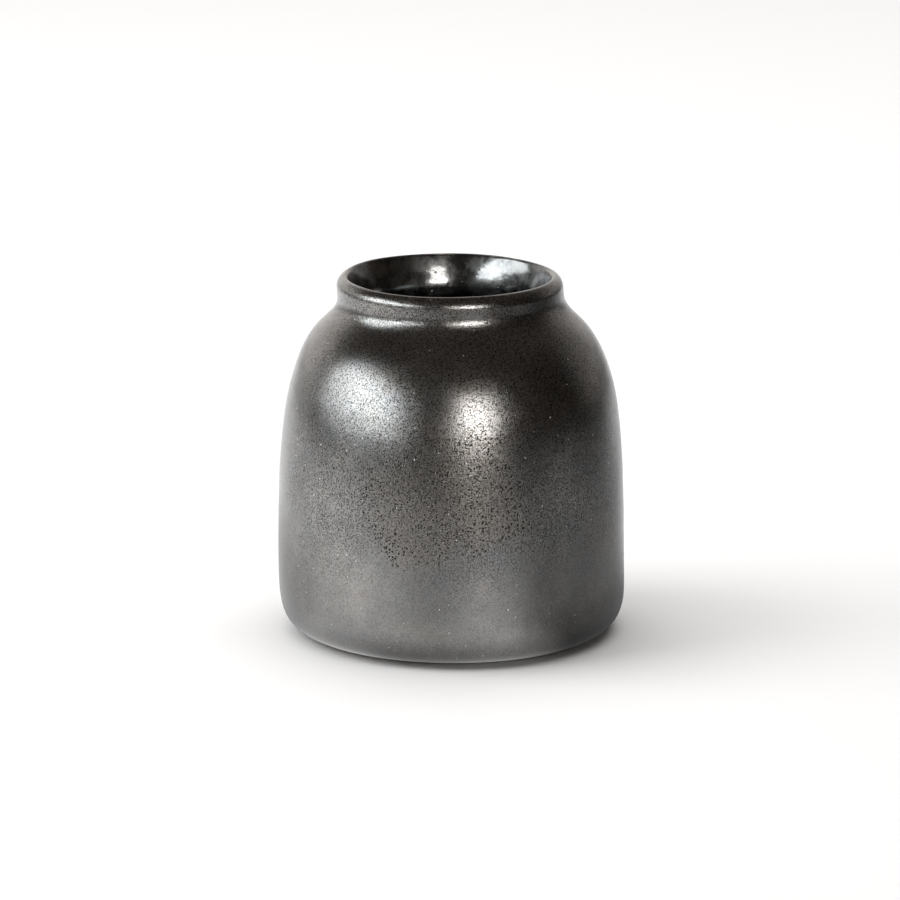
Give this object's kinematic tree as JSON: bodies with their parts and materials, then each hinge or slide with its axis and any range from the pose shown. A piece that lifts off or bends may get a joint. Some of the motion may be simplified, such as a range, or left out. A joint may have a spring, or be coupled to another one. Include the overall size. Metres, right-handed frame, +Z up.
{
  "type": "ceramic jar",
  "caption": "Empty round-shouldered ceramic candle jar with a short neck, a rolled lip and an open mouth, glazed inside and out.",
  "frame": {"origin": "centre of the circle that the foot ring stands on, at the level of the table", "axes": "+Z up along the axis of the jar, towards the mouth; the jar is round, so +X and +Y are any two directions across it"},
  "size_m": [0.1, 0.1, 0.1042],
  "materials": {
    "bare_clay": "unglazed fired stoneware, matt and slightly gritty",
    "metallic_glaze": "satin metallic gunmetal glaze with fine orange peel and dark pinholes",
    "black_glaze": "gloss black glaze"
  },
  "bodies": {
    "root": {"clay_body": "bare_clay", "outer_glaze": "metallic_glaze", "liner_glaze": "black_glaze", "base_glaze": "metallic_glaze"}
  },
  "joints": []
}
